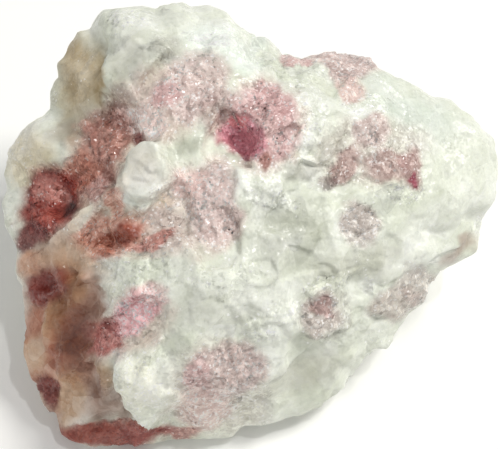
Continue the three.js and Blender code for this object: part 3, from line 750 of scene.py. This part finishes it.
# A closed ball of quads: a square cap of cells x cells out to level cap, rings at the levels given, and
# a second cap, or a single point, at the back. Returns each vertex's angle and level, and the faces.
def ballGrid(cells, cap, levels, backCap):
    line = np.linspace(-1, 1, cells + 1)
    x, y = np.meshgrid(line, line)
    radius, angle = squareToDisc(x.ravel(), y.ravel())
    index = np.arange((cells + 1) ** 2).reshape(cells + 1, cells + 1)
    border = np.concatenate([index[:-1, -1], index[-1, :0:-1], index[:0:-1, 0], index[0, :-1]])
    corners = [index[:-1, :-1], index[:-1, 1:], index[1:, 1:], index[1:, :-1]]
    capFaces = np.stack(corners, axis=-1).reshape(-1, 4)
    angles, heights = [angle], [radius * cap]
    faces, rows = [capFaces], [border]
    count = len(angle)
    for level in levels:
        angles.append(angle[border])
        heights.append(np.full(len(border), level))
        rows.append(count + np.arange(len(border)))
        count += len(border)
    closing = []
    if backCap:
        angles.append(angle)
        heights.append(2 - radius * (2 - backCap))
        faces.append(capFaces[:, ::-1] + count)
        rows.append(border + count)
    else:
        angles.append(np.zeros(1))
        heights.append(np.full(1, 2.0))
        closing = [(a, count, b) for a, b in zip(rows[-1].tolist(), np.roll(rows[-1], -1).tolist())]
    for inner, outer in zip(rows[:-1], rows[1:]):
        faces.append(np.stack([inner, outer, np.roll(outer, -1), np.roll(inner, -1)], axis=1))
    return np.concatenate(angles), np.concatenate(heights), np.concatenate(faces).tolist() + closing


# Puts a surface into a mesh, in metres, with its colours and shares as attributes of its points.
def makePiece(name, points, faces, colours, material, node):
    mesh = bpy.data.meshes.new(name)
    mesh.from_pydata(((points + stand) / metre).tolist(), [], faces)
    mesh.shade_smooth()
    ground, tint, cover, crushed, grainy = colours
    for label, rgb in (("ground", ground), ("tint", tint)):
        attribute = mesh.attributes.new(label, "FLOAT_COLOR", "POINT")
        attribute.data.foreach_set("color", np.column_stack([rgb, np.ones(len(rgb))]).ravel())
    for label, share in (("cover", cover), ("crushed", crushed), ("grainy", grainy)):
        mesh.attributes.new(label, "FLOAT", "POINT").data.foreach_set("value", share)
    piece = bpy.data.objects.new(name, mesh)
    bpy.context.collection.objects.link(piece)
    mesh.materials.append(material)
    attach(piece, "root")
    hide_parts(node)
    return piece


# One node with its inputs, by name or number, and its settings; an input that is a socket is linked.
# Gives back one output, or the node itself where out is None.
def addNode(tree, kind, inputs=None, out=0, **settings):
    node = tree.nodes.new("ShaderNode" + kind)
    for key, value in settings.items():
        setattr(node, key, value)
    for key, value in (inputs or {}).items():
        if isinstance(value, bpy.types.NodeSocket):
            tree.links.new(value, node.inputs[key])
        else:
            node.inputs[key].default_value = value
    return node if out is None else node.outputs[out]


# A material with an empty node tree, and the tree.
def newMaterial(name):
    material = bpy.data.materials.new(name)
    material.use_nodes = True
    tree = material.node_tree
    tree.nodes.clear()
    return material, tree


# sizes in mm, and how the cells show; pairs run from where the mineral is whole to where it is granular
quartzLook = {
    "grain": 0.34, "crumb": 1.0, "flake": 3.6, "clot": 1.8, "cloud": 8.0,
    "bendSize": 4.0, "bendBy": 1.6,  # the lumps that bend the edges of crumbs and flakes, and how far
    "lotShare": 0.45,  # a grain's and a crumb's share in the grain's lot, beside its clot's
    "cloudRange": (0.34, 0.66),  # of the noise, from clear to milky
    "filter": (1.25, 0.55),  # thickness of the ground's colour there
    "flakeFilter": 0.3, "crumbFilter": 0.16, "crushedFilter": -0.15,  # thickness that these add
    "gemFilter": (0.15, 0.5),  # how far thickness swings with a grain's lot in the tourmaline
    "lightSwing": (-0.2, -1.2), "leastLight": 0.92, "mostLight": 0.95,  # what grains give back
    "clear": 0.5, "glintPower": 1.6, "glintKeeps": 0.4,  # share of grains paled towards white as painted glints, and the colour they keep
    "paneTilt": (0.4, 0.4), "crumbTilt": (0.22, 0.8), "grainTilt": (0.3, 1.0),
    "roughness": 0.22, "matt": 0.4,  # of the glassiest grain or flake, and what the mattest has over it
    "refraction": 1.55, "soft": 0.15, "softRadii": (1.0, 0.95, 0.85), "softDepth": 1.3,
}
rubelliteLook = {**quartzLook, "roughness": 0.1}


# The finish of both minerals. Each colour deepens as a filter does with its thickness: colour to the power
# of thickness, which differs from flake to flake in the ground and from grain to grain in the tourmaline.
# A grain takes the tourmaline's colour by the skin's share of it, raised or lowered by the grain's lot, and
# every grain, crumb and flake leans its own way, so that some of them glint.
def mineral(name, look):
    material, tree = newMaterial(name)
    place = addNode(tree, "TexCoord", out="Object")
    ground = addNode(tree, "Attribute", out="Color", attribute_name="ground")
    tint = addNode(tree, "Attribute", out="Color", attribute_name="tint")
    cover = addNode(tree, "Attribute", out="Fac", attribute_name="cover")
    crushed = addNode(tree, "Attribute", out="Fac", attribute_name="crushed")
    grainy = addNode(tree, "Attribute", out="Fac", attribute_name="grainy")
    scale = {key: metre / look[key] for key in ("grain", "crumb", "flake", "clot", "cloud", "bendSize")}
    lumps = addNode(tree, "TexNoise", {"Vector": place, "Scale": scale["bendSize"], "Detail": 1.0}, "Color")
    bendBy = (look["bendBy"] / metre,) * 3
    bent = addNode(tree, "VectorMath", {0: lumps, 1: bendBy, 2: place}, operation="MULTIPLY_ADD")
    grain = addNode(tree, "TexVoronoi", {"Vector": place, "Scale": scale["grain"]}, "Color")
    crumb = addNode(tree, "TexVoronoi", {"Vector": bent, "Scale": scale["crumb"]}, "Color")
    flake = addNode(tree, "TexVoronoi", {"Vector": bent, "Scale": scale["flake"]}, "Color")
    grainDraw = addNode(tree, "SeparateColor", {0: grain}, None).outputs
    crumbDraw = addNode(tree, "SeparateColor", {0: crumb}, None).outputs
    flakeDraw = addNode(tree, "SeparateColor", {0: flake}, None).outputs
    clotted = {"Vector": place, "Scale": scale["clot"], "Detail": 4.0, "Roughness": 0.65}
    clouded = {"Vector": bent, "Scale": scale["cloud"], "Detail": 4.0, "Roughness": 0.55}
    clot = addNode(tree, "TexNoise", clotted)
    milk = addNode(tree, "TexNoise", clouded)

    # a lot for each grain, part its own, part its crumb's, part the clot's, less their mean
    lot = addNode(tree, "Math", {0: grainDraw[0], 1: look["lotShare"], 2: clot}, operation="MULTIPLY_ADD")
    lot = addNode(tree, "Math", {0: crumbDraw[0], 1: look["lotShare"], 2: lot}, operation="MULTIPLY_ADD")
    lot = addNode(tree, "Math", {0: lot, 1: 0.5 + look["lotShare"]}, operation="SUBTRACT")

    # share of tourmaline, jittered where it is neither none nor all
    bare = addNode(tree, "Math", {0: 1.0, 1: cover}, operation="SUBTRACT")
    partly = addNode(tree, "Math", {0: bare, 1: cover}, operation="MULTIPLY")
    share = addNode(tree, "Math", {0: lot, 1: partly, 2: cover}, operation="MULTIPLY_ADD", use_clamp=True)

    # the ground: thinner where it is crushed to sugar
    clear, milky = look["cloudRange"]
    thick, thin = look["filter"]
    depth = addNode(tree, "MapRange", {0: milk, 1: clear, 2: milky, 3: thick, 4: thin})
    for draw, amount in (
        (flakeDraw[0], look["flakeFilter"]),
        (crumbDraw[1], look["crumbFilter"]),
        (crushed, look["crushedFilter"]),
    ):
        depth = addNode(tree, "Math", {0: draw, 1: amount, 2: depth}, operation="MULTIPLY_ADD")
    stony = addNode(tree, "Gamma", {0: ground, 1: depth})

    # the tourmaline: thickness swings from grain to grain where it is granular
    whole, loose = look["gemFilter"]
    swing = addNode(tree, "MapRange", {0: grainy, 3: whole, 4: loose})
    deep = addNode(tree, "Math", {0: lot, 1: swing, 2: 1.0}, operation="MULTIPLY_ADD")
    pink = addNode(tree, "Gamma", {0: tint, 1: deep})
    body = addNode(tree, "Mix", {0: share, 6: stony, 7: pink}, 2, data_type="RGBA")

    # grains give back more or less of the light, and some are paled of most of their colour: painted glints
    whole, loose = look["lightSwing"]
    glow = addNode(tree, "MapRange", {0: grainy, 3: whole, 4: loose})
    light = addNode(tree, "Math", {0: lot, 1: glow, 2: 1.0}, operation="MULTIPLY_ADD")
    light = addNode(tree, "Math", {0: light, 1: look["leastLight"]}, operation="MAXIMUM")
    lit = addNode(tree, "VectorMath", {0: body, "Scale": light}, operation="SCALE")
    lit = addNode(tree, "VectorMath", {0: lit, 1: (look["mostLight"],) * 3}, operation="MINIMUM")
    pale = addNode(tree, "RGBToBW", {0: body})
    pale = addNode(tree, "Math", {0: pale, 1: grainy}, operation="MULTIPLY")
    pale = addNode(tree, "Math", {0: pale, 1: look["glintPower"]}, operation="POWER")
    pale = addNode(tree, "Math", {0: pale, 1: look["clear"]}, operation="MULTIPLY")
    paintedGlint = addNode(tree, "Math", {0: grainDraw[2], 1: pale}, operation="LESS_THAN")
    kept = addNode(tree, "MapRange", {0: paintedGlint, 3: 1.0, 4: look["glintKeeps"]})
    colour = addNode(tree, "Gamma", {0: lit, 1: kept})

    # leanings: the surface's own direction plus a random one for each flake, crumb and grain
    normal = addNode(tree, "NewGeometry", out="Normal")
    for draw, tilt in ((flake, "paneTilt"), (crumb, "crumbTilt"), (grain, "grainTilt")):
        whole, loose = look[tilt]
        amount = addNode(tree, "MapRange", {0: grainy, 3: whole, 4: loose})
        leaning = addNode(tree, "VectorMath", {0: draw, 1: (0.5,) * 3}, operation="SUBTRACT")
        leaning = addNode(tree, "VectorMath", {0: leaning, "Scale": amount}, operation="SCALE")
        normal = addNode(tree, "VectorMath", {0: normal, 1: leaning}, operation="ADD")
    normal = addNode(tree, "VectorMath", {0: normal}, operation="NORMALIZE")

    # some flakes are glassy and some grains are, the rest are matt
    shine = addNode(tree, "Mix", {0: grainy, 2: flakeDraw[1], 3: grainDraw[1]})
    glassiest, mattest = look["roughness"], look["roughness"] + look["matt"]
    gloss = addNode(tree, "MapRange", {0: shine, 3: glassiest, 4: mattest})
    settings = {
        "Base Color": colour,
        "Roughness": gloss,
        "Normal": normal,
        "IOR": look["refraction"],
        "Subsurface Weight": look["soft"],
        "Subsurface Radius": look["softRadii"],
        "Subsurface Scale": look["softDepth"] / metre,
    }
    shader = addNode(tree, "BsdfPrincipled", settings)
    addNode(tree, "OutputMaterial", {0: shader}, None)
    return material


# Milky quartz and feldspar, broken by hand: white with a green cast, soft light inside, flaky panes.
milkyQuartz = mineral("milky_quartz", quartzLook)
# Rubellite tourmaline, granular: glassy grains, pale and deep side by side, with sharp glints.
rubellite = mineral("rubellite", rubelliteLook)
print("materials ready")

# crystals, by the outline of each on the sheet; deep is how far it goes into the rock, mm
crystals = {
    "tourmaline_centre": {"deep": 8, "outline": [
        (222, 130), (234, 112), (250, 97), (264, 87), (282, 86), (298, 98), (302, 118), (293, 140),
        (282, 160), (260, 166), (240, 158), (226, 144)]},
    "tourmaline_upper": {"deep": 7, "outline": [
        (148, 88), (164, 68), (188, 57), (210, 62), (216, 82), (206, 104), (192, 124), (166, 127),
        (147, 112)]},
    "tourmaline_seam": {"deep": 5, "outline": [
        (84, 142), (97, 124), (112, 108), (122, 122), (125, 142), (112, 168), (99, 176), (92, 160)]},
    "tourmaline_dark_left": {"deep": 6, "outline": [
        (18, 210), (28, 192), (46, 178), (66, 171), (83, 179), (80, 198), (66, 216), (46, 236), (27, 243)]},
    "tourmaline_orange": {"deep": 6, "outline": [
        (78, 240), (92, 226), (106, 214), (124, 208), (142, 215), (146, 232), (128, 245), (106, 255),
        (86, 254)]},
    "tourmaline_middle": {"deep": 7, "outline": [
        (182, 186), (198, 170), (222, 172), (234, 186), (237, 208), (232, 232), (214, 250), (196, 240),
        (185, 214)]},
    "tourmaline_lower_left": {"deep": 6, "outline": [
        (95, 334), (105, 319), (122, 308), (142, 298), (157, 291), (167, 305), (166, 325), (150, 336),
        (127, 338), (108, 346)]},
    "tourmaline_lower_middle": {"deep": 7, "outline": [
        (190, 368), (204, 354), (230, 348), (256, 345), (268, 356), (264, 376), (244, 392), (217, 401),
        (198, 392)]},
    "tourmaline_lower_right": {"deep": 4, "outline": [
        (302, 324), (312, 306), (322, 292), (334, 294), (338, 310), (330, 326), (314, 334)]},
    "tourmaline_violet": {"deep": 4, "outline": [
        (346, 218), (356, 204), (370, 200), (378, 214), (374, 230), (359, 240), (347, 234)]},
    "tourmaline_right_outer": {"deep": 4, "outline": [
        (393, 149), (406, 144), (420, 150), (422, 168), (414, 186), (403, 182), (396, 166)]},
    "tourmaline_right_streak": {"deep": 3.5, "outline": [
        (328, 188), (340, 166), (352, 149), (360, 158), (356, 176), (340, 190)]},
    "tourmaline_right_upper": {"deep": 4, "outline": [
        (359, 123), (372, 117), (384, 128), (388, 148), (384, 168), (372, 170), (366, 148)]},
    "tourmaline_top_right": {"deep": 4.5, "outline": [
        (298, 62), (316, 52), (336, 40), (360, 44), (380, 60), (374, 76), (352, 88), (332, 82), (312, 74)]},
    "tourmaline_foot": {"deep": 4, "outline": [
        (66, 432), (88, 425), (118, 420), (148, 428), (164, 440), (146, 452), (112, 456), (80, 450)]},
    "tourmaline_left_edge": {"deep": 4, "outline": [
        (20, 300), (29, 284), (44, 273), (59, 277), (58, 292), (45, 305), (30, 312)]},
    "tourmaline_left_low": {"deep": 3.5, "outline": [
        (30, 386), (44, 375), (58, 380), (61, 398), (52, 410), (38, 404)]},
    "tourmaline_right_edge": {"deep": 4, "outline": [
        (394, 300), (404, 282), (416, 267), (430, 270), (432, 288), (418, 308), (402, 315)]},
}
crystalShape = {
    "proud": 0.25,  # mm over the skin in the middle
    "edgeDip": 0.75,  # mm under that at the outline
    "cellsPerMm": 3.6,
    "cap": 0.85,  # share of the outline where the grid's cap ends and its rings begin
    "rings": (0.9, 0.95, 1.0, 1.15, 1.4, 1.7),  # levels: 1 at the outline, 2 at the middle of the root
    "neck": 1.4,  # level where the sides end and the root's end begins
    "taper": 0.66,  # width of the root over its width at the surface
}

for entry in crystals.values():
    corners = onSheet(entry["outline"])
    entry["middle"] = corners.mean(axis=0)
    entry["width"] = 2 * np.sqrt(np.mean(np.sum((corners - entry["middle"]) ** 2, axis=1)))
    entry["reach"] = reachAbout(corners, entry["middle"])


# How far into a crystal's outline a place is: 0 at its middle, 1 at the outline.
def shareOf(place, entry):
    away = place - entry["middle"]
    return np.hypot(away[:, 0], away[:, 1]) / entry["reach"](np.arctan2(away[:, 1], away[:, 0]))


# A crystal: over its outline the skin is raised in the middle and dips under the matrix at the edge
# (proud minus dip times level to the fourth), with grains on it; below, it tapers to its root.
def growCrystal(name, entry):
    shape = crystalShape
    cells = 2 * int(entry["width"] * shape["cellsPerMm"] / 2)
    angle, level, faces = ballGrid(cells, shape["cap"], shape["rings"], None)
    root = smooth(level, 1.0, shape["neck"])
    share = np.where(level <= 1, level, 1 - (1 - shape["taper"]) * root)
    share = np.where(level > shape["neck"], share * (2 - level) / (2 - shape["neck"]), share)
    reach = share * entry["reach"](angle)
    place = entry["middle"] + np.stack([reach * np.cos(angle), reach * np.sin(angle)], axis=1)
    points, outward = stoneSkin(*angleAndLevel(place))
    height = shape["proud"] - shape["edgeDip"] * np.minimum(level, 1) ** 4 + sugarHeight(points, 1.0)
    points = points + outward * (height - entry["deep"] * root)[:, None]
    colours = skinColour(points, place, np.zeros(len(points)))
    makePiece(name + "_grain", onBase(points), faces, colours, rubellite, name)


for name, entry in crystals.items():
    growCrystal(name, entry)
print("crystals grown:", len(crystals))

# levels of the matrix's grid: 0 at the middle of the show face, 1 at the rim, 2 at the middle of the back
matrixShape = {
    "cells": 144,  # of a cap, on a side
    "cap": 0.6,  # level where the front cap ends and the rings begin
    "frontRings": 41,
    "rimRings": 14,  # from the rim to its end, crowding towards the rim by the power crowding
    "rimEnd": 1.12,
    "crowding": 1.5,
    "backRings": 28,
    "backCap": 1.72,
    "underCrystal": 0.9,  # mm that the matrix lies lower under a crystal
    "socket": (0.55, 0.8),  # shares of a crystal's outline between which it comes up again
}


# The matrix: the whole skin, lowered under the crystals.
def breakMatrix():
    shape = matrixShape
    front = np.linspace(shape["cap"], 1, shape["frontRings"] + 1)[1:]
    steps = np.linspace(0, 1, shape["rimRings"] + 1)[1:]
    rim = 1 + (shape["rimEnd"] - 1) * steps ** shape["crowding"]
    back = np.linspace(shape["rimEnd"], shape["backCap"], shape["backRings"] + 2)[1:-1]
    levels = np.concatenate([front, rim, back])
    angle, level, faces = ballGrid(shape["cells"], shape["cap"], levels, shape["backCap"])
    points, outward = stoneSkin(angle, level)
    place = placeOf(angle, level)
    drop = np.zeros(len(points))
    for entry in crystals.values():
        drop = np.maximum(drop, 1 - smooth(shareOf(place, entry), *shape["socket"]))
    colours = skinColour(points, place, level)
    height = sugarHeight(points, colours[-1]) - shape["underCrystal"] * drop
    points = points + outward * height[:, None]
    return makePiece("matrix_rock", onBase(points), faces, colours, milkyQuartz, "matrix")


matrixRock = breakMatrix()
print("matrix broken:", len(matrixRock.data.polygons), "faces")

# stage, light and camera: metres right, up and towards the viewer from the face's middle, and watts
studio = {
    "floorColour": "#fafaf8",
    "floorHalf": 2.0,  # m
    "floorRoughness": 0.9,
    "worldColour": (1, 1, 1, 1),
    "worldStrength": 0.42,
    "sensor": 36.0,  # mm
    "nearest": 0.01,  # m that the camera sees
}
lamps = {
    "key_light": {"at": (0.4, 0.42, 0.5), "size": 0.24, "power": 3.7, "colour": (1.0, 0.985, 0.95)},
    "fill_light": {"at": (-0.5, -0.05, 0.45), "size": 0.5, "power": 0.55, "colour": (1.0, 0.97, 0.93)},
    "spark_light": {"at": (0.2, 0.3, 0.6), "size": 0.03, "power": 0.7, "colour": (1.0, 1.0, 1.0)},
}

middle = (faceMiddle + stand) / metre


# A point of space by its metres right, up and towards the viewer from the face's middle.
def fromFace(right, up, out):
    return Vector(middle + right * faceRight + up * faceUp + out * faceOut)


floorMaterial, floorTree = newMaterial("matt_paper")
floorColour = (*linear(studio["floorColour"]), 1)
paperSettings = {"Base Color": floorColour, "Roughness": studio["floorRoughness"]}
paper = addNode(floorTree, "BsdfPrincipled", paperSettings)
addNode(floorTree, "OutputMaterial", {0: paper}, None)
floorMesh = bpy.data.meshes.new("paper_floor")
half = studio["floorHalf"]
floorCorners = [(-half, -half, 0), (half, -half, 0), (half, half, 0), (-half, half, 0)]
floorMesh.from_pydata(floorCorners, [], [(0, 1, 2, 3)])
floorMesh.materials.append(floorMaterial)
floor = bpy.data.objects.new("paper_floor", floorMesh)
bpy.context.collection.objects.link(floor)
floor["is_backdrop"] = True

world = bpy.data.worlds.new("studio_air")
bpy.context.scene.world = world
world.use_nodes = True
background = world.node_tree.nodes["Background"].inputs
background["Strength"].default_value = studio["worldStrength"]
background["Color"].default_value = studio["worldColour"]

for name, setting in lamps.items():
    light = bpy.data.lights.new(name, "AREA")
    light.shape = "DISK"
    light.size = setting["size"]
    light.energy = setting["power"]
    light.color = setting["colour"]
    lamp = bpy.data.objects.new(name, light)
    bpy.context.collection.objects.link(lamp)
    lamp.location = fromFace(*setting["at"])
    lamp.rotation_euler = (lamp.location - Vector(middle)).to_track_quat("Z", "Y").to_euler()

lens = bpy.data.cameras.new("photo_camera")
lens.sensor_width = studio["sensor"]
lens.lens = studio["sensor"] * stone["sightDistance"] / (stone["photoWidth"] * mmPerPixel)
lens.clip_start = studio["nearest"]
camera = bpy.data.objects.new("photo_camera", lens)
bpy.context.collection.objects.link(camera)
turned = Matrix((faceRight, faceUp, faceOut)).transposed()
eye = fromFace(0, 0, stone["sightDistance"] / metre)
camera.matrix_world = Matrix.Translation(eye) @ turned.to_4x4()
bpy.context.scene.camera = camera
bpy.context.scene.view_settings.view_transform = "Standard"
print("studio set")

corners = [[list(map(float, corner)) for corner in box] for box in (cadBox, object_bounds())]
